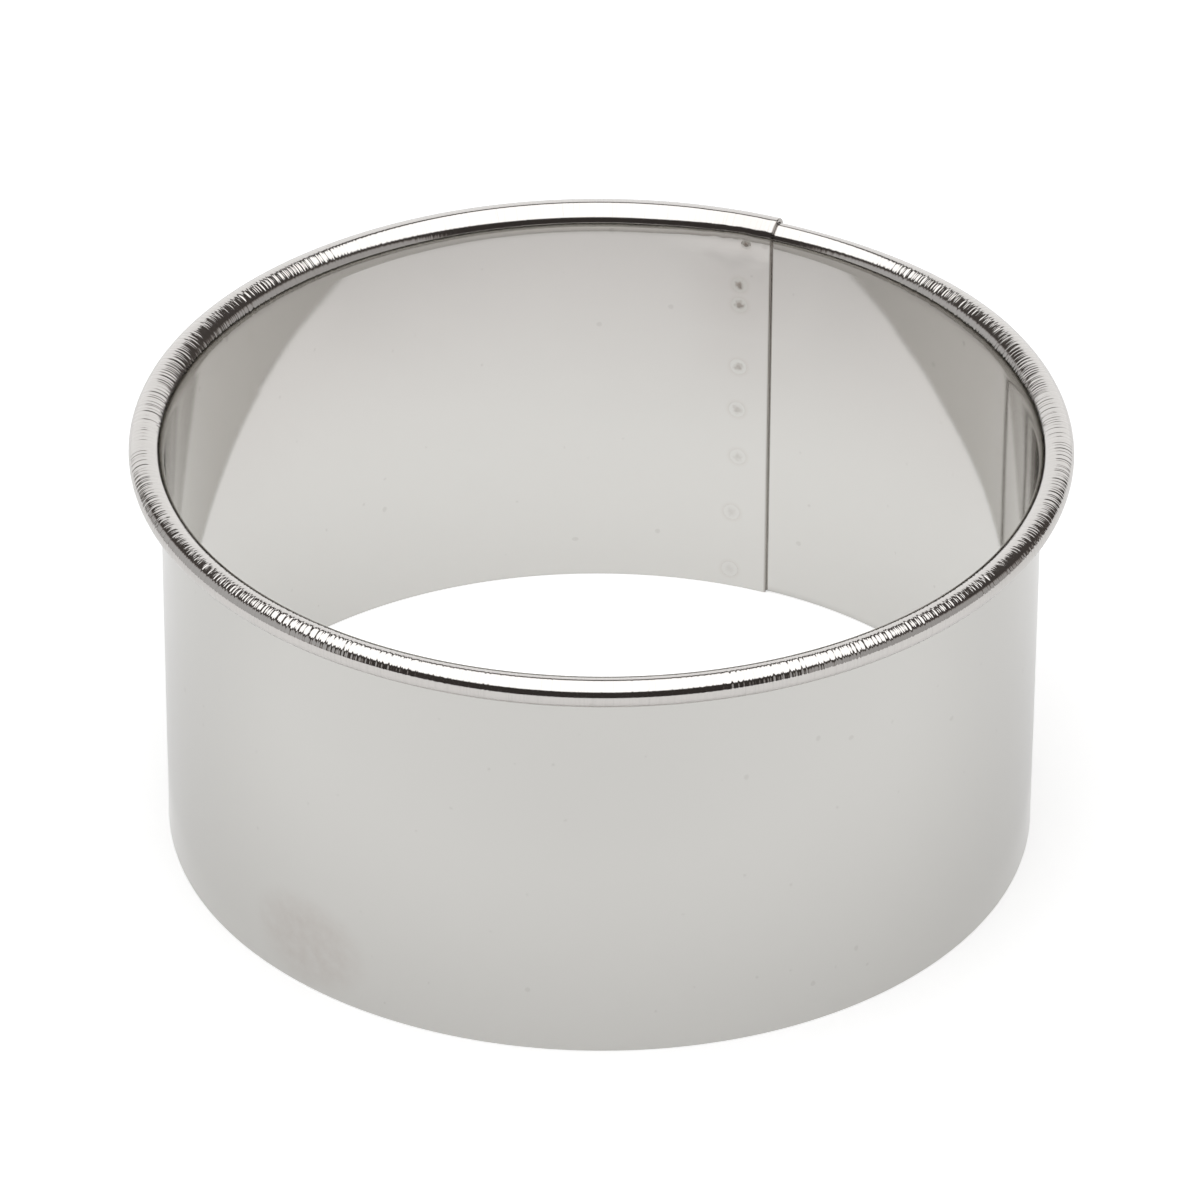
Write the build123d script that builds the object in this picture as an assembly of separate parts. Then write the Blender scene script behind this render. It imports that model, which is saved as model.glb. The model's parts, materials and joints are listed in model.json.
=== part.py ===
from build123d import *
import math
import os

os.makedirs("parts", exist_ok=True)

# A round biscuit cutter, bent up from one strip of polished stainless sheet.
# The strip is rolled into a ring, its two ends lap and are spot welded, and its
# top edge is rolled outwards into a hollow bead that the hand presses on.
# Lengths are millimetres and angles are degrees.
# The ring stands on its cutting edge: z = 0 is that edge, and +Z is the ring's axis.
# Angles round the ring run counter-clockwise from +X, seen from above.

# The ring
cutting_diameter = 63.5
overall_height = 32.15
sheet_thickness = 0.3
edge_break = 0.08

# The rolled rim: three arcs, each tangent to the one before it. The neck flares the wall
# out, the crown turns it over the top, and the lip curls it under, almost onto the wall.
# Each arc ends where its own outward direction reaches the angle given:
# 180 points at the ring's axis, 90 straight up, 0 away from the axis, -90 down.
neck_radius = 3.6
crown_radius = 1.47
lip_radius = 1.03
wall_angle = 180
neck_end_angle = 168
crown_end_angle = 90
lip_end_angle = -133

# The lap seam
seam_angle = 66.5
lap_length = 3.7
lap_gap = 0.04
joggle_length = 5.0
joggle_setback = 0.3
joggle_steps = 10

# The spot welds: a column of seven down the lap, and a small one in the rim's neck
weld_radius = 0.65
rim_weld_radius = 0.4
weld_end_margin = 1.26
dimple_depth = 0.05
cut_overrun = 0.05
weld_height_shares = (0.047, 0.207, 0.364, 0.493, 0.611, 0.779, 0.833)
weld_stray_shares = (0.38, 0.3, -0.05, 0.05, 0, -0.02, 0)
rim_weld_height_share = 0.945
rim_weld_stray_share = -0.38
dimple_radius_share = 0.8

full_turn = 360
quarter_turn = 90
wall_outer_radius = cutting_diameter / 2
wall_inner_radius = wall_outer_radius - sheet_thickness
lap_offset = sheet_thickness + lap_gap
double_thickness = lap_offset + sheet_thickness
crown_rise = (neck_radius - crown_radius) * math.sin(math.radians(neck_end_angle))
neck_start_height = overall_height - crown_radius - crown_rise


def angle_of(length):
    """The angle at the ring's axis of an arc of this length along the wall."""
    return math.degrees(length / wall_outer_radius)


def polar(centre, radius, angle):
    """The point at a distance and direction from a centre, in the section's plane."""
    turn = math.radians(angle)
    return (centre[0] + radius * math.cos(turn), centre[1] + radius * math.sin(turn))


def rim_arcs():
    """The rim's arcs as centre, radius, first angle and last angle, from the wall outwards."""
    radii = (neck_radius, crown_radius, lip_radius)
    ends = (neck_end_angle, crown_end_angle, lip_end_angle)
    arcs = []
    centre = (wall_inner_radius + neck_radius, neck_start_height)
    start = wall_angle
    for place, (radius, end) in enumerate(zip(radii, ends)):
        if place > 0:
            centre = polar(centre, radii[place - 1] - radius, start)
        arcs.append((centre, radius, start, end))
        start = end
    return arcs


def strip_section(offset):
    """The strip's section, its inner face moved outwards from the wall's by an offset.

    A larger offset nests the section outside the wall and inside the rolled rim.
    """
    inner = wall_inner_radius + offset
    outer = inner + sheet_thickness
    arcs = rim_arcs()
    edges = [Line((inner, edge_break), (inner, neck_start_height))]
    for depth in (offset, offset + sheet_thickness):
        for centre, radius, start, end in arcs:
            edges.append(CenterArc(centre, radius - depth, start, end - start))
    centre, radius, start, end = arcs[-1]
    tail_face = polar(centre, radius - offset, end)
    tail_back = polar(centre, radius - offset - sheet_thickness, end)
    edges.append(Line(tail_face, tail_back))
    edges.append(Line((outer, neck_start_height), (outer, edge_break)))
    edges.append(Line((outer, edge_break), (outer - edge_break, 0)))
    edges.append(Line((outer - edge_break, 0), (inner + edge_break, 0)))
    edges.append(Line((inner + edge_break, 0), (inner, edge_break)))
    return Plane.XZ * make_face(edges)


def swept(section, start, end):
    """A section turned about the ring's axis from one angle to another."""
    return revolve(Rot(0, 0, start) * section, Axis.Z, end - start)


def smooth_step(share):
    """A rise from 0 to 1 that is level at both ends."""
    return share * share * (3 - 2 * share)


def joggle(start, end):
    """The stretch in which the strip steps outwards, to lie behind its own first end."""
    sections = []
    for step in range(joggle_steps + 1):
        share = step / joggle_steps
        section = strip_section(lap_offset * smooth_step(share))
        sections.append(Rot(0, 0, start + share * (end - start)) * section)
    return loft(sections)


def lap_wall(overrun):
    """Both layers of the wall and the rim's neck over the lap, thicker by an overrun."""
    centre, radius, start, end = rim_arcs()[0]
    inner = wall_inner_radius - overrun
    outer = wall_inner_radius + double_thickness + overrun
    inner_radius = radius + overrun
    outer_radius = radius - double_thickness - overrun
    edges = [
        Line((inner, 0), (inner, neck_start_height)),
        CenterArc(centre, inner_radius, start, end - start),
        Line(polar(centre, inner_radius, end), polar(centre, outer_radius, end)),
        CenterArc(centre, outer_radius, start, end - start),
        Line((outer, neck_start_height), (outer, 0)),
        Line((outer, 0), (inner, 0)),
    ]
    face = Plane.XZ * make_face(edges)
    return swept(face, seam_angle, seam_angle + angle_of(lap_length))


def weld_places():
    """Each weld as its angle round the ring, its height and its radius, from the edge up."""
    column_angle = seam_angle + angle_of(lap_length - weld_end_margin)
    places = []
    for height_share, stray_share in zip(weld_height_shares, weld_stray_shares):
        angle = column_angle + angle_of(stray_share * weld_end_margin)
        places.append((angle, height_share * overall_height, weld_radius))
    rim_angle = column_angle + angle_of(rim_weld_stray_share * weld_end_margin)
    places.append((rim_angle, rim_weld_height_share * overall_height, rim_weld_radius))
    return places


def weld_core(place, overrun):
    """The round plug that a weld takes up in both layers, before the electrodes' marks."""
    angle, height, radius = place
    reach = double_thickness + neck_radius
    plug = Pos(wall_inner_radius, 0, height) * Rot(0, quarter_turn, 0) * Cylinder(radius, 2 * reach)
    return (Rot(0, 0, angle) * plug) & lap_wall(overrun)


def strip():
    """The whole strip: the ring from its inner end, the joggle, and the lap's outer layer.

    Each weld's core is taken out of both layers.
    """
    joggle_end = seam_angle + full_turn - angle_of(joggle_setback)
    joggle_start = joggle_end - angle_of(joggle_length)
    outer_end = seam_angle + full_turn + angle_of(lap_length)
    cores = [weld_core(place, cut_overrun) for place in weld_places()]
    ring = swept(strip_section(0), seam_angle, joggle_start) - cores
    outer_layer = swept(strip_section(lap_offset), joggle_end, outer_end) - cores
    return ring + joggle(joggle_start, joggle_end) + outer_layer


def flare(radius, height):
    """How far a neck of this radius has drawn the wall outwards at a height."""
    rise = max(0, height - neck_start_height)
    return radius - math.sqrt(radius ** 2 - rise ** 2)


def weld(place):
    """One spot weld: the plug with a shallow round dimple pressed in each of its faces."""
    angle, height, radius = place
    mark_radius = dimple_radius_share * radius
    ball_radius = (mark_radius ** 2 + dimple_depth ** 2) / (2 * dimple_depth)
    inner_face = wall_inner_radius + flare(neck_radius, height)
    outer_flare = flare(neck_radius - double_thickness, height)
    outer_face = wall_inner_radius + double_thickness + outer_flare
    inner_ball = inner_face - ball_radius + dimple_depth
    outer_ball = outer_face + ball_radius - dimple_depth
    body = weld_core(place, 0)
    for ball_place in (inner_ball, outer_ball):
        body = body - Rot(0, 0, angle) * Pos(ball_place, 0, height) * Sphere(ball_radius)
    return body


export_step(strip().solid(), "parts/steel_band.step")

for number, place in enumerate(weld_places(), start=1):
    export_step(weld(place).solid(), f"parts/spot_weld_{number}.step")
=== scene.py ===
import json
import math

import bpy
import numpy as np
from mathutils import Matrix, Vector


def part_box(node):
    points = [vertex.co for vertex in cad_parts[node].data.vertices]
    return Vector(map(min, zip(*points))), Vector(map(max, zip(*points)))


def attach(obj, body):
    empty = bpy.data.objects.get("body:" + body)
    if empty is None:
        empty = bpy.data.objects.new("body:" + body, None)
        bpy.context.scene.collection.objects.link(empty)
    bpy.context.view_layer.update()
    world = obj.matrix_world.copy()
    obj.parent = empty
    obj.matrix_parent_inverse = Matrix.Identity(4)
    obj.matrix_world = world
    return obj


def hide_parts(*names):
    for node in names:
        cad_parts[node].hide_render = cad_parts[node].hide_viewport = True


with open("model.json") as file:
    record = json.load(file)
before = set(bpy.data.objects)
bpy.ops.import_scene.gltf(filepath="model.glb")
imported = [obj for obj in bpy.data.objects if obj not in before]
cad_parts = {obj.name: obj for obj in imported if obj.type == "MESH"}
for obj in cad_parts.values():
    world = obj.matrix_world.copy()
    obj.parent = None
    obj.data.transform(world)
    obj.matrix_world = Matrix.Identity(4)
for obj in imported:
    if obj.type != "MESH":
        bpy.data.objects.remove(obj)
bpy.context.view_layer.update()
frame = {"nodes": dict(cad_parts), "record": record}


# The steel band. The real piece is one long strip of thin, mirror-polished stainless sheet, rolled
# into a ring. Its lower edge is cut plain, its upper edge is rolled outwards into a hollow bead,
# and its outer end is stepped out behind its inner end, where the two are spot welded.

MM = 0.001
mounts = {mount["name"]: mount for mount in frame["record"]["mounts"]}
bore_radius = mounts["cutting_bore"]["dims"]["r_mm"] * MM
rim_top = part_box("steel_band")[1].z
sheet = 0.3 * MM
edge_round = 0.08 * MM
wall_radius = bore_radius + sheet

# The bead's three arcs, from the wall outwards: neck, crown and lip. Each has the direction, seen
# from its centre, in which it starts and ends: 180 degrees points at the ring's axis.
arc_radii = np.array([3.6, 1.47, 1.03]) * MM
arc_turns = np.radians([180, 168, 90, -133])
neck_start = rim_top - arc_radii[1] - (arc_radii[0] - arc_radii[1]) * math.sin(arc_turns[1])
arc_marks = neck_start + np.concatenate([[0], np.cumsum(arc_radii * -np.diff(arc_turns))])
strip_width = arc_marks[-1]

# The lap: the ends' overlap, the gap between the layers, and the joggle, which is the long gentle
# step that sets the outer end out behind the inner end.
seam_angle = math.radians(66.5)
girth = math.tau * wall_radius
lap_length = 3.7 * MM
lap_gap = 0.04 * MM
lap_offset = sheet + lap_gap
joggle_length = 22 * MM
joggle_setback = 0.3 * MM
joggle_end = girth - joggle_setback
joggle_start = joggle_end - joggle_length
strip_length = girth + lap_length


def weld_place(node):
    """A weld's distance along the strip, its distance across it and its radius, from its CAD box.

    The angle of the box's middle gives the first, and its height the second: beyond the wall that
    is the length of the neck's arc whose sine is the rise over the neck's radius.
    """
    low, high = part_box(node)
    middle = (low + high) / 2
    along = (math.atan2(middle.y, middle.x) - seam_angle) * wall_radius
    rise = max(0, middle.z - neck_start)
    across = min(middle.z, neck_start) + arc_radii[0] * math.asin(rise / arc_radii[0])
    return along, across, (high.z - low.z) / 2


weld_nodes = sorted(node for node in frame["nodes"] if node.startswith("spot_weld"))
weld_places = [weld_place(node) for node in weld_nodes]


def section(across):
    """The strip's inner face in the ring's section, and the way its thickness points there.

    Up to the neck the point rises at the bore's radius and the thickness points outwards. On an
    arc it turns about the arc's centre by length over radius, and the thickness points at the
    centre. Each arc's centre lies on the line through its start and the centre before it.
    """
    radius, height = np.full(across.shape, bore_radius), across
    out, up = np.ones(across.shape), np.zeros(across.shape)
    centre = np.array([bore_radius + arc_radii[0], neck_start])
    for number, (arc, mark, start) in enumerate(zip(arc_radii, arc_marks, arc_turns)):
        if number:
            centre = centre + (arc_radii[number - 1] - arc) * np.array([math.cos(start), math.sin(start)])
        on = across > mark
        turn = start - (across - mark) / arc
        radius = np.where(on, centre[0] + arc * np.cos(turn), radius)
        height = np.where(on, centre[1] + arc * np.sin(turn), height)
        out = np.where(on, -np.cos(turn), out)
        up = np.where(on, -np.sin(turn), up)
    return radius, height, out, up


def strip_point(along, across, depth):
    """The place in space of a point of the strip, from its distance along, across and into it.

    The section's point moves along the thickness by the depth and by the joggle's offset, which
    rises as a smooth step, and then turns about the ring's axis by length over radius.
    """
    share = np.clip((along - joggle_start) / joggle_length, 0, 1)
    shift = depth + lap_offset * share * share * (3 - 2 * share)
    radius, height, out, up = section(across)
    angle = seam_angle + along / wall_radius
    reach = radius + shift * out
    return np.stack([reach * np.cos(angle), reach * np.sin(angle), height + shift * up], -1)


def face_depth(along, across, outer):
    """The depth of one face of the strip: nothing or the sheet's thickness, less the edge's round.

    Within the round's radius of the nearest edge the face sinks by the radius less the circle's
    height there.
    """
    edge = np.minimum(np.minimum(along, strip_length - along), np.minimum(across, strip_width - across))
    near = np.clip(edge_round - edge, 0, edge_round)
    sunk = edge_round - np.sqrt(edge_round ** 2 - near ** 2)
    return sheet - sunk if outer else sunk


slope_step = 0.002 * MM


def face_point(along, across, outer):
    """A point of one face of the band: the strip's point at that face's depth."""
    return strip_point(along, across, face_depth(along, across, outer))


def face_normal(face, along, across, outer):
    """A face's normal: the cross product of its slopes along and across, by small differences.

    The face is a function of the distances along and across, and of which side it is.
    """
    run = face(along + slope_step, across, outer) - face(along - slope_step, across, outer)
    rise = face(along, across + slope_step, outer) - face(along, across - slope_step, outer)
    normal = np.cross(run, rise)
    normal /= np.linalg.norm(normal, axis=-1, keepdims=True)
    return normal if outer else -normal


def spaced(*stretches):
    """Grid lines over stretches that follow each other, each given as its end and its step count."""
    lines = [np.zeros(1)]
    for end, count in stretches:
        lines.append(np.linspace(lines[-1][-1], end, count + 1)[1:])
    return np.concatenate(lines)


# Round each weld the grid has a cell of its own, whose middle is cut out to the weld's circle. All
# cells share their columns. A cell reaches past its weld by a margin, or half way to the next weld.
cell_rows, cell_columns = 4, 6
cell_margin = 0.22 * MM
cell_left = min(along - radius for along, across, radius in weld_places) - cell_margin
cell_right = lap_length - edge_round
welds_upwards = sorted(weld_places, key=lambda place: place[1])
cell_bounds = []
for number, (along, across, radius) in enumerate(welds_upwards):
    below = welds_upwards[number - 1][1] if number else -across
    above = welds_upwards[number + 1][1] if number + 1 < len(welds_upwards) else strip_width
    low = max(across - radius - cell_margin, (across + below) / 2)
    high = min(across + radius + cell_margin, (across + above) / 2)
    cell_bounds.append((low, high))

# The strip's rounded edges have a grid line at each of these turns of their quarter circle.
round_turns = np.radians([30, 60, 90])
round_lines = edge_round * (1 - np.cos(round_turns))
near_edge = [(line, 1) for line in round_lines]


def far_edge(end):
    """The stretches of a rounded edge that ends the grid: the lines of the first edge, mirrored."""
    return [(end - line, 1) for line in round_lines[-2::-1]] + [(end, 1)]


wall_row_height = 1.2 * MM
least_gap = edge_round / 10
neck_rows, crown_rows, lip_rows = 1, 7, 22
row_stretches = list(near_edge)
for low, high in cell_bounds:
    gap = low - row_stretches[-1][0]
    if gap > least_gap:
        row_stretches.append((low, math.ceil(gap / wall_row_height)))
    row_stretches.append((high, cell_rows))
row_stretches += [(arc_marks[1], neck_rows), (arc_marks[2], crown_rows)]
row_stretches += [(strip_width - edge_round, lip_rows)] + far_edge(strip_width)
rows = spaced(*row_stretches)

end_columns, ring_columns, joggle_columns, overlap_columns = 2, 340, 48, 3
column_stretches = near_edge + [(cell_left, end_columns), (cell_right, cell_columns)]
column_stretches += [(joggle_start, ring_columns), (joggle_end, joggle_columns)]
column_stretches += [(girth + cell_left, overlap_columns), (girth + cell_right, cell_columns)]
column_stretches += far_edge(strip_length)
columns = spaced(*column_stretches)


def flat_strip():
    """The strip laid flat: the points' distances along and across, and its quads and triangles.

    A grid of rows and columns. Each weld's cell gives up its quads, and a fan of triangles joins
    the cell's border to points on the weld's circle, two for each border point: one in the border
    point's own direction and one half way to the next.
    """
    along, across = [axis.ravel() for axis in np.meshgrid(columns, rows)]
    width = len(columns)
    corner = np.arange(len(rows) - 1)[:, None] * width + np.arange(width - 1)
    free = np.ones(corner.shape, bool)
    triangles = []
    for (low, high), (weld_along, weld_across, radius) in zip(cell_bounds, welds_upwards):
        bottom, top = [int(np.argmin(abs(rows - edge))) for edge in (low, high)]
        for layer_start in (0, girth):
            left, right = [
                int(np.argmin(abs(columns - layer_start - edge))) for edge in (cell_left, cell_right)
            ]
            free[bottom:top, left:right] = False
            border = np.concatenate([
                bottom * width + np.arange(left, right),
                np.arange(bottom, top) * width + right,
                top * width + np.arange(right, left, -1),
                np.arange(top, bottom, -1) * width + left,
            ])
            middle = weld_along + layer_start
            turn = np.unwrap(np.arctan2(across[border] - weld_across, along[border] - middle))
            turns = np.stack([turn, (turn + np.append(turn[1:], turn[0] + math.tau)) / 2], 1).ravel()
            first = len(along)
            along = np.append(along, middle + radius * np.cos(turns))
            across = np.append(across, weld_across + radius * np.sin(turns))
            ring = first + np.arange(len(turns)).reshape(-1, 2)
            after, after_ring = np.roll(border, -1), np.roll(ring[:, 0], -1)
            triangles += [
                np.stack([border, ring[:, 1], ring[:, 0]], 1),
                np.stack([border, after, ring[:, 1]], 1),
                np.stack([after, after_ring, ring[:, 1]], 1),
            ]
    corner = corner[free]
    quads = np.stack([corner, corner + 1, corner + width + 1, corner + width], 1)
    return along, across, quads, np.concatenate(triangles)


def open_edges(faces):
    """The directed edges that only one face has: those whose reverse is on no face."""
    edges = np.concatenate([np.stack([face, np.roll(face, -1, 1)], -1).reshape(-1, 2) for face in faces])
    size = edges.max() + 1
    codes, reverse = edges[:, 0] * size + edges[:, 1], edges[:, 1] * size + edges[:, 0]
    return edges[~np.isin(codes, reverse)]


def new_mesh(name, points, faces):
    """A mesh of points and lists of equal-sized faces, without the points that no face uses."""
    used = np.unique(np.concatenate([face.ravel() for face in faces]))
    number = np.zeros(len(points), int)
    number[used] = np.arange(len(used))
    mesh = bpy.data.meshes.new(name)
    corners = [corner for face in faces for corner in number[face].tolist()]
    mesh.from_pydata(points[used].tolist(), [], corners)
    return mesh, used


def set_attribute(mesh, name, values):
    """A number for each point, which the material reads by name."""
    mesh.attributes.new(name, "FLOAT", "POINT").data.foreach_set("value", values.astype(np.float32))


def set_normals(mesh, normals, flat_from):
    """Gives each corner its point's true normal. Faces from a number on stay flat."""
    corners = np.zeros(len(mesh.loops), int)
    mesh.loops.foreach_get("vertex_index", corners)
    starts = np.zeros(len(mesh.polygons), int)
    mesh.polygons.foreach_get("loop_start", starts)
    smooth = np.arange(len(starts)) < flat_from
    mesh.polygons.foreach_set("use_smooth", smooth)
    at_corners = normals[corners]
    if flat_from < len(starts):
        at_corners[starts[flat_from]:] = 0
    mesh.normals_split_custom_set(at_corners.tolist())


def add_piece(name, mesh, nodes):
    """The piece that shows a mesh in the place of CAD nodes: it hangs from the root body, and the nodes are
    hidden.
    """
    piece = bpy.data.objects.new(name, mesh)
    bpy.context.scene.collection.objects.link(piece)
    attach(piece, "root")
    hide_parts(*nodes)
    return piece


# Both faces are the flat strip bent into place, and every open edge of it, round the outside and
# round each weld, is closed by a quad from one face to the other.
along, across, quads, triangles = flat_strip()
count = len(along)
edges = open_edges([quads, triangles])
closing = np.stack([edges[:, 1] + count, edges[:, 0] + count, edges[:, 0], edges[:, 1]], 1)
points = np.concatenate([face_point(along, across, outer) for outer in (False, True)])
normals = np.concatenate([face_normal(face_point, along, across, outer) for outer in (False, True)])
band_faces = [quads[:, ::-1], quads + count, triangles[:, ::-1], triangles + count, closing]
band_mesh, used = new_mesh("steel_sheet", points, band_faces)
set_attribute(band_mesh, "along", np.tile(along, 2)[used] / MM)
set_attribute(band_mesh, "across", np.tile(across, 2)[used] / MM)
from_weld = np.min([
    np.hypot((along + girth / 2) % girth - girth / 2 - weld_along, across - weld_across) - radius
    for weld_along, weld_across, radius in weld_places
], axis=0)
set_attribute(band_mesh, "from_weld", np.tile(from_weld, 2)[used] / MM)
set_normals(band_mesh, normals[used], sum(len(face) for face in band_faces[:-1]))
add_piece("polished_band", band_mesh, ["steel_band"])


class Wire:
    """An output in a shader tree. Sums written with wires and numbers add Math nodes."""

    def __init__(self, tree, socket=None):
        self.tree = tree
        self.socket = socket

    def node(self, kind, settings=None, inputs=None, output=0):
        """Adds a node of a type: its settings first, then its sockets' values or links.

        Gives the output asked for, or none for a node that ends a tree.
        """
        made = self.tree.nodes.new(kind)
        for name, value in (settings or {}).items():
            setattr(made, name, value)
        for name, value in (inputs or {}).items():
            if isinstance(value, Wire):
                self.tree.links.new(value.socket, made.inputs[name])
            else:
                made.inputs[name].default_value = value
        return Wire(self.tree, None if output is None else made.outputs[output])

    def math(self, operation, *values):
        """Adds a Math node on values, each a wire or a number."""
        return self.node("ShaderNodeMath", {"operation": operation}, dict(enumerate(values)))

    def __add__(self, other):
        return self.math("ADD", self, other)

    def __sub__(self, other):
        return self.math("SUBTRACT", self, other)

    def __rsub__(self, other):
        return self.math("SUBTRACT", other, self)

    def __mul__(self, other):
        return self.math("MULTIPLY", self, other)

    def __truediv__(self, other):
        return self.math("DIVIDE", self, other)

    def __pow__(self, other):
        return self.math("POWER", self, other)

    __radd__ = __add__
    __rmul__ = __mul__

    def rise(self, low, high):
        """A smooth step from 0 to 1 as the value goes from low to high, or down if low is higher."""
        settings = {"interpolation_type": "SMOOTHSTEP"}
        return self.node("ShaderNodeMapRange", settings, {"Value": self, "From Min": low, "From Max": high})

    def mix(self, first, second):
        """A colour that goes from the first to the second as this value goes from 0 to 1."""
        inputs = {0: self, 6: first, 7: second}
        return self.node("ShaderNodeMix", {"data_type": "RGBA", "clamp_factor": True}, inputs, 2)


def new_material(name):
    """An empty node material, as the wire that starts its tree."""
    material = bpy.data.materials.new(name)
    material.use_nodes = True
    material.node_tree.nodes.clear()
    return material, Wire(material.node_tree)


def finish_steel(tree, colour, roughness, height):
    """Polished metal of a colour and a roughness, with a relief in millimetres."""
    normal = tree.node("ShaderNodeBump", {}, {"Strength": 1, "Distance": MM, "Height": height})
    inputs = {"Metallic": 1, "Base Color": colour, "Roughness": roughness, "Normal": normal}
    shader = tree.node("ShaderNodeBsdfPrincipled", {}, inputs)
    tree.node("ShaderNodeOutputMaterial", {}, {"Surface": shader}, None)


band_steel, tree = new_material("polished_steel")
along_mm, across_mm, weld_mm = [
    tree.node("ShaderNodeAttribute", {"attribute_name": name}, {}, "Fac")
    for name in ("along", "across", "from_weld")
]


noise_middle = 0.5
streak_roughness = 0.6


def streaks(per_mm, stretch, detail):
    """A noise from -0.5 to 0.5, drawn out across the strip, with this many lines to a millimetre."""
    place = tree.node("ShaderNodeCombineXYZ", {}, {0: along_mm * per_mm, 1: across_mm * (per_mm / stretch)})
    inputs = {"Vector": place, "Scale": 1, "Detail": detail, "Roughness": streak_roughness}
    noise = tree.node("ShaderNodeTexNoise", {"noise_dimensions": "2D"}, inputs, "Fac")
    return noise - noise_middle


# Where the finish changes, in millimetres along and across the strip or out from a weld's rim. Each
# pair is the place where something is nothing, and the place where it is full.
bead = (30.2, 31.8)
bead_wrinkled = (30.6, 31.4)
crest_up, crest_down = (32.2, 32.8), (33.4, 32.8)
front_left, front_right = (58, 68), (168, 158)
calm_left, calm_right = (38, 31), (186, 192)
beside_seam = (10, 1)
buckle_foot, buckle_waves = (29, 33), (27, 30)
wall_warmed = (10, 30)
weld_column, round_welds, weld_halo = (14, 28), (5, 0), (0.4, -0.2)
cut_edge = (0.16, 0.04)

rolled = across_mm.rise(*bead)
at_front = along_mm.rise(*front_left) * along_mm.rise(*front_right)

# The relief, in millimetres: wrinkles combed into the bead where it was rolled, a slight crest at
# its top, hairlines from polishing, a slow sway of the whole wall, and the rim buckled at the seam.
# The wrinkles are weak on both sides of the seam, and at the front they start further across.
wrinkle_height, calm_share, front_shift = 0.044, 0.8, 1.6
crest_height = 0.03
wall_hairline_height, bead_hairline_height = 0.0006, 0.0008
sway_height = 0.008
buckle_height, buckle_wave_height = 0.3, 0.05
calm = 1 - calm_share * (along_mm.rise(*calm_left) + along_mm.rise(*calm_right))
bead_side = (across_mm - front_shift * at_front).rise(*bead_wrinkled)
wrinkles = streaks(per_mm=3.5, stretch=60, detail=1) * wrinkle_height * calm * bead_side
crest = across_mm.rise(*crest_up) * across_mm.rise(*crest_down) * crest_height
hairline_height = wall_hairline_height + bead_hairline_height * rolled
hairlines = streaks(per_mm=13, stretch=60, detail=2) * hairline_height
sway = streaks(per_mm=0.12, stretch=1, detail=1) * sway_height
waves = across_mm.rise(*buckle_waves) * streaks(per_mm=0.6, stretch=1.2, detail=1) * buckle_wave_height
buckled = along_mm.rise(*beside_seam) * (across_mm.rise(*buckle_foot) * buckle_height + waves)
relief = wrinkles + hairlines + sway + buckled + crest

# The colours: steel that is a trace warmer on the bead, and high on the wall except at the front. It
# is brushed darker in streaks on the bead, browned round the welds, and dark at the cut end, partly
# the sheared edge's own colour and partly painted shade of the crevice at the seam.
steel_colour = (0.605, 0.597, 0.575, 1)
warm_steel_colour = (0.614, 0.593, 0.573, 1)
brushed_colour = (0.46, 0.45, 0.435, 1)
browned_colour = (0.5, 0.47, 0.45, 1)
halo_colour = (0.42, 0.36, 0.31, 1)
cut_and_crevice_shade_colour = (0.25, 0.22, 0.2, 1)
smear_colour = (0.43, 0.37, 0.34, 1)
dust_colour = (0.3, 0.27, 0.25, 1)
brush_contrast, brush_base = 1.2, 0.03
browned_share, halo_share, cut_and_crevice_shade_share, smear_share, dust_share = 0.3, 0.2, 0.5, 0.4, 0.15
dust_level = (0.4, 0.43)
warmth = rolled.math("MAXIMUM", rolled, across_mm.rise(*wall_warmed) * (1 - at_front))
polished = warmth.mix(steel_colour, warm_steel_colour)
brushed = (streaks(per_mm=9, stretch=60, detail=3) * brush_contrast + brush_base) * rolled
streaked = brushed.mix(polished, brushed_colour)
near_welds = across_mm.rise(*weld_column) * weld_mm.rise(*round_welds)
browned = (near_welds * browned_share).mix(streaked, browned_colour)
haloed = (weld_mm.rise(*weld_halo) * halo_share).mix(browned, halo_colour)
# Dark at the cut end: partly the sheared edge's own colour, partly painted shade of the crevice at the
# seam.
cut_end_and_crevice_shade = (along_mm.rise(*cut_edge) * cut_and_crevice_shade_share).mix(haloed, cut_and_crevice_shade_colour)

# Low on the wall, to the left of the front, a hand has left an oval smudge, blotched by a noise. A
# few specks of dust lie on the wall.
touch_middle, touch_half_size = (90, 4), (6, 4.5)
blotch_base = 0.6
touch_x = (along_mm - touch_middle[0]) / touch_half_size[0]
touch_y = (across_mm - touch_middle[1]) / touch_half_size[1]
blotches = streaks(per_mm=0.8, stretch=1, detail=2) + blotch_base
touched = (touch_x ** 2 + touch_y ** 2).rise(1, 0) * blotches
smeared = (touched * smear_share).mix(cut_end_and_crevice_shade, smear_colour)
dust = streaks(per_mm=1.1, stretch=1, detail=0).rise(*dust_level) * dust_share
dusty = dust.mix(smeared, dust_colour)

# The roughness: a mirror that is a little duller on the bead and where it was touched.
wall_roughness, bead_dulled, uneven_share, touch_dulled = 0.055, 0.055, 0.015, 0.06
uneven = streaks(per_mm=0.5, stretch=3, detail=3) * uneven_share
dulled = wall_roughness + bead_dulled * rolled + uneven + touched * touch_dulled
finish_steel(tree, dusty, dulled, relief)
band_mesh.materials.append(band_steel)


# The spot welds. Each is where an electrode pressed and melted the two layers of the lap together:
# a small shallow pit on both faces, dull and browned by the heat. Seven stand in a column up the
# lap, and a smaller one holds the lap at the bead's root.

pit_share = 0.6
pit_depth = 0.015 * MM
weld_clearance = 0.003 * MM
weld_rings, ring_points = 16, 48


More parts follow.
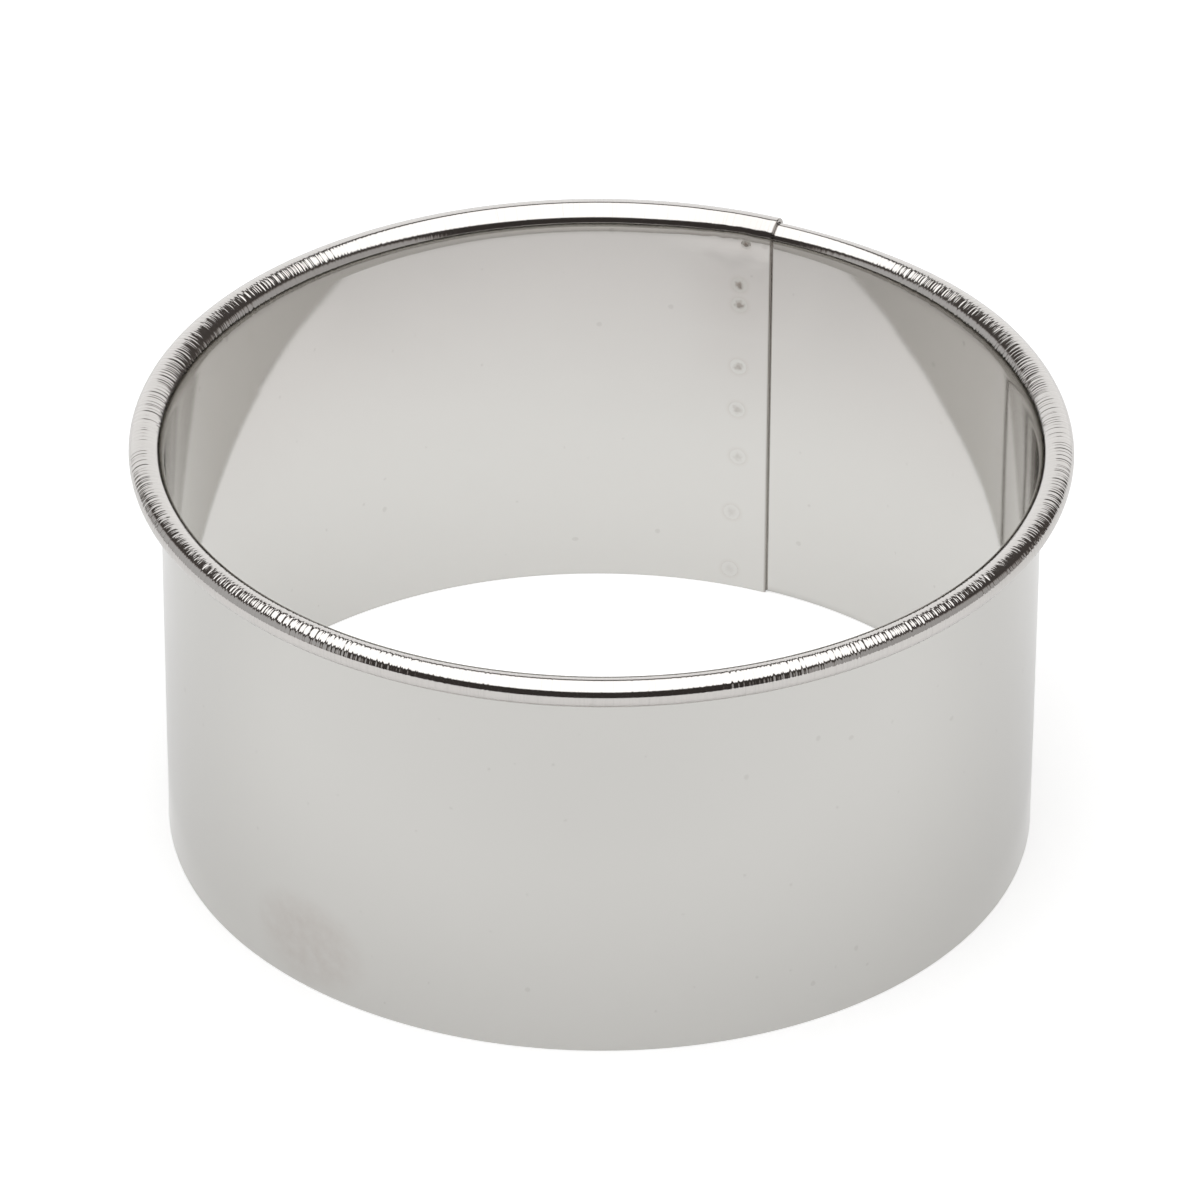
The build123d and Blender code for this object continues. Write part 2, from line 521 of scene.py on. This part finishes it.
def weld_mesh(name, place, brownness):
    """A plug through both layers: rings of points out from the middle of each face, and a side.

    The pit is half a cosine wave. The near face is the pit's depth into the sheet, and the far one
    is as much short of both layers' thickness.
    """
    weld_along, weld_across, radius = place

    def face(along, across, far):
        share = np.hypot(along - weld_along, across - weld_across) / radius
        sunk = pit_depth * (0.5 + 0.5 * np.cos(math.pi * np.clip(share / pit_share, 0, 1)))
        return strip_point(along, across, lap_offset + sheet - sunk if far else sunk)

    around = np.linspace(0, math.tau, ring_points, endpoint=False)
    share = np.linspace(0, 1, weld_rings + 1)[1:]
    reach = (radius - weld_clearance) * share[:, None]
    along = np.append(weld_along + reach * np.cos(around), weld_along)
    across = np.append(weld_across + reach * np.sin(around), weld_across)
    count = len(along)
    points = np.concatenate([face(along, across, far) for far in (False, True)])
    normals = np.concatenate([face_normal(face, along, across, far) for far in (False, True)])
    here = np.arange(count - 1).reshape(len(share), len(around))
    after = np.roll(here, -1, 1)
    rings = np.stack([here[:-1], here[1:], after[1:], after[:-1]], -1).reshape(-1, 4)
    fan = np.stack([np.full(len(around), count - 1), here[0], after[0]], 1)
    side = np.stack([here[-1], after[-1], after[-1] + count, here[-1] + count], 1)
    faces = [rings[:, ::-1], rings + count, fan[:, ::-1], fan + count, side]
    mesh, used = new_mesh(name, points, faces)
    set_attribute(mesh, "from_middle", np.tile(np.append(np.repeat(share, len(around)), 0), 2)[used])
    set_attribute(mesh, "brownness", np.full(len(used), brownness))
    set_normals(mesh, normals[used], sum(len(face) for face in faces[:-1]))
    return mesh


weld_steel, tree = new_material("weld_steel")
from_middle, brownness = [
    tree.node("ShaderNodeAttribute", {"attribute_name": name}, {}, "Fac")
    for name in ("from_middle", "brownness")
]

# The metal is burnt darker and duller from the rim of the pit inwards, with a ragged border, and the
# brownest welds have a warm tint of their own round it.
grain_scale, grain_detail = 4000, 3
burnt_from, burnt_full = 0.75, 0.1
warm_from, warm_full, warm_share = 0.5, 1, 0.4
warm_weld_colour = (0.47, 0.435, 0.4, 1)
burnt_colour = (0.31, 0.27, 0.24, 1)
weld_roughness, burnt_dulled = 0.08, 0.2
burnt_grain_height = 0.006
place = tree.node("ShaderNodeTexCoord", {}, {}, "Object")
grain_inputs = {"Vector": place, "Scale": grain_scale, "Detail": grain_detail}
grain = tree.node("ShaderNodeTexNoise", {}, grain_inputs, "Fac")
burnt = (from_middle + (grain - noise_middle)).rise(burnt_from, burnt_full) * brownness
warmed = (brownness.rise(warm_from, warm_full) * warm_share).mix(steel_colour, warm_weld_colour)
weld_colour = burnt.mix(warmed, burnt_colour)
weld_relief = grain * burnt_grain_height * burnt
finish_steel(tree, weld_colour, weld_roughness + burnt * burnt_dulled, weld_relief)

# The higher a weld stands, the browner it is.
lowest_brownness, added_brownness = 0.12, 1.5
for node, place in zip(weld_nodes, weld_places):
    brownness = lowest_brownness + added_brownness * (place[1] / strip_width) ** 2
    piece = add_piece("browned_" + node, weld_mesh(node + "_plug", place, brownness), [node])
    piece.data.materials.append(weld_steel)


# The table top. It is pale and matt, and is lifted to white where the camera sees it, so that only
# the ring's shadow shows on it. Inside the ring it glows a little more, which stands for the light
# that the polished wall throws down on it. The steel mirrors it darker than the camera sees it, and
# outside the ring, more towards the back, it carries a painted shade that only the steel mirrors.

floor_low, floor_high = (-0.155, -0.16), (0.34, 0.6)
corners = [(x, y, 0.0) for y in (floor_low[1], floor_high[1]) for x in (floor_low[0], floor_high[0])]
floor_mesh = bpy.data.meshes.new("table_top")
floor_mesh.from_pydata(corners, [], [(0, 1, 3, 2)])
floor = bpy.data.objects.new("table_top", floor_mesh)
bpy.context.scene.collection.objects.link(floor)

table_colour = (0.75, 0.75, 0.75, 1)
seen_glow, mirrored_glow = 0.39, 0.21
thrown_glow, rear_thrown_glow = 0.12, 0.12
# How much painted shade the steel mirrors on the table outside the ring, at the back.
rear_painted_shade = 0.09

# These pairs are in millimetres: the place where something is nothing, and where it is full.
inside_wall, outside_wall = (32, 31), (32, 34)
rear_part, front_to_rear = (6, 31), (-30, 15)

floor_material, tree = new_material("table_white")
camera_ray = tree.node("ShaderNodeLightPath", {}, {}, "Is Camera Ray")
glossy_ray = tree.node("ShaderNodeLightPath", {}, {}, "Is Glossy Ray")
transmission_ray = tree.node("ShaderNodeLightPath", {}, {}, "Is Transmission Ray")
spot = tree.node("ShaderNodeTexCoord", {}, {}, "Object")
spot_x, spot_y = [tree.node("ShaderNodeSeparateXYZ", {}, {0: spot}, axis) / MM for axis in range(2)]
from_axis = (spot_x ** 2 + spot_y ** 2) ** 0.5
thrown = (thrown_glow + rear_thrown_glow * spot_y.rise(*rear_part)) * from_axis.rise(*inside_wall)
# Painted shade: outside the ring, and more towards the back, the table is darker where the steel mirrors
# it.
painted_shade = rear_painted_shade * spot_y.rise(*front_to_rear) * from_axis.rise(*outside_wall)
mirrored = mirrored_glow + thrown - painted_shade
top_up = (seen_glow + thrown) * (camera_ray + transmission_ray) + mirrored * glossy_ray
table = tree.node("ShaderNodeBsdfDiffuse", {}, {"Color": table_colour})
glow = tree.node("ShaderNodeEmission", {}, {"Color": top_up})
both = tree.node("ShaderNodeAddShader", {}, {0: table, 1: glow})
tree.node("ShaderNodeOutputMaterial", {}, {"Surface": both}, None)
floor_mesh.materials.append(floor_material)


# The studio's light: one broad soft box overhead and a pale far wall, in a dim room whose left and
# right walls are a little brighter. The camera itself sees plain white in their place.

world = bpy.data.worlds.new("studio")
world.use_nodes = True
world.node_tree.nodes.clear()
bpy.context.scene.world = world
tree = Wire(world.node_tree)
direction = tree.node("ShaderNodeTexCoord", {}, {}, "Generated")
right, far, up = [tree.node("ShaderNodeSeparateXYZ", {}, {0: direction}, axis) for axis in range(3)]

# A panel ends where a direction hardly points ahead any more.
least_ahead, clear_ahead = 0.02, 0.06


def panel(sideways, upwards, ahead, middle, half_size, power, soft):
    """A rounded panel on the plane one unit ahead: 1 inside it and 0 outside.

    Its border is where the offsets from its middle, each over its half size and raised to the
    power, add up to one. It fades over the soft share of that on either side.
    """
    distance = ahead.math("MAXIMUM", ahead, least_ahead)
    offsets = [sideways / distance - middle[0], upwards / distance - middle[1]]
    reach = sum(
        (offset.math("ABSOLUTE", offset) / half) ** power for offset, half in zip(offsets, half_size)
    )
    return reach.rise(1 + soft, 1 - soft) * ahead.rise(least_ahead, clear_ahead)


softbox = panel(right, far, up, middle=(-0.1, -0.44), half_size=(1.13, 1.12), power=2.2, soft=0.08)
far_panel = panel(right, up, far, middle=(0, 0), half_size=(0.95, 0.87), power=3, soft=0.1)
left_wall = panel(far, up, 0 - right, middle=(0.1, 0.1), half_size=(0.75, 0.42), power=2.5, soft=0.5)
right_wall = panel(far, up, right, middle=(-0.35, 0.1), half_size=(0.75, 0.5), power=2.5, soft=0.5)
far_wall_foot = (-0.3, -0.2)
far_wall = far_panel * up.rise(*far_wall_foot)

softbox_light, far_wall_light, left_wall_light, right_wall_light = 1.8, 1.12, 0.5, 0.42
room_light, far_room_light = 0.045, 0.02
room = room_light + far_room_light * (far + 1)
bare = (1 - softbox) * (1 - far_wall)
side_walls = left_wall_light * left_wall + right_wall_light * right_wall
studio = softbox_light * softbox + far_wall_light * far_wall + (side_walls + room) * bare
seen = tree.node("ShaderNodeLightPath", {}, {}, "Is Camera Ray")
strength = studio * (1 - seen) + seen

# The dim room is warmer than the lit panels.
dim, lit = 0.1, 0.6
dim_tint, lit_tint = (1, 0.88, 0.82, 1), (1, 1, 1, 1)
tint = strength.rise(dim, lit).mix(dim_tint, lit_tint)
background = tree.node("ShaderNodeBackground", {}, {"Color": tint, "Strength": strength})
tree.node("ShaderNodeOutputWorld", {}, {"Surface": background}, None)


# The camera. It stands in front of the ring and looks down on it from a third of the way up from
# level, through a long lens, and is turned a trace about its own line of sight.

camera_aim = Vector((-0.046, 0, 17.66)) * MM
camera_distance = 0.6607
camera_height = math.radians(32.51)
camera_roll = math.radians(0.28)
lens_mm, sensor_mm = 272.5, 36
back = Vector((0, -math.cos(camera_height), math.sin(camera_height)))
camera_data = bpy.data.cameras.new("camera")
camera_data.sensor_width = sensor_mm
camera_data.lens = lens_mm
camera = bpy.data.objects.new("camera", camera_data)
bpy.context.scene.collection.objects.link(camera)
camera.rotation_euler = (Matrix.Rotation(math.pi / 2 - camera_height, 3, "X")
                         @ Matrix.Rotation(camera_roll, 3, "Z")).to_euler()
camera.location = camera_aim + back * camera_distance
bpy.context.scene.camera = camera
bpy.context.scene.view_settings.view_transform = "Standard"

# Seen along the polished wall, light meets the steel up to about ten times before it leaves the ring.
bpy.context.scene.cycles.glossy_bounces = 12
